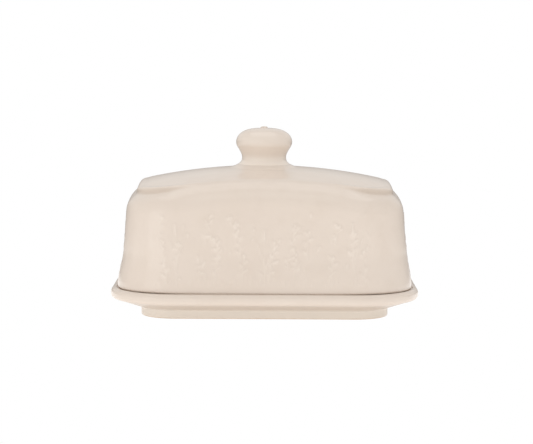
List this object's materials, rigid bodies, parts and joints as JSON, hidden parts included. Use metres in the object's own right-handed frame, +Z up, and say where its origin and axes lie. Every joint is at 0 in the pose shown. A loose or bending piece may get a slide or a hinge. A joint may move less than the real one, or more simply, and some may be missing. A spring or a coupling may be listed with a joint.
{
  "type": "covered butter dish",
  "caption": "Oblong stoneware butter dish with a rolled rim and a tall domed cover that lifts off by a baluster knob.",
  "frame": {"origin": "centre of the footprint, at the bottom of the foot ring", "axes": "+X along the length of the dish, -Y towards the front, +Z up through the knob"},
  "size_m": [0.18, 0.13, 0.1089],
  "materials": {
    "dish_glaze": "glossy cream glaze, bare clay on the foot ring",
    "lid_glaze": "glossy cream glaze over low moulded relief, bare clay on the lower edge",
    "knob_glaze": "glossy cream glaze"
  },
  "bodies": {
    "dish": {"dish": "dish_glaze"},
    "cover": {"lid": "lid_glaze", "knob": "knob_glaze"}
  },
  "joints": [
    {"name": "lid_lift", "type": "slide", "parent": "dish", "child": "cover", "axis": [0, 0, 1], "range_m": [0, 0.1]}
  ]
}
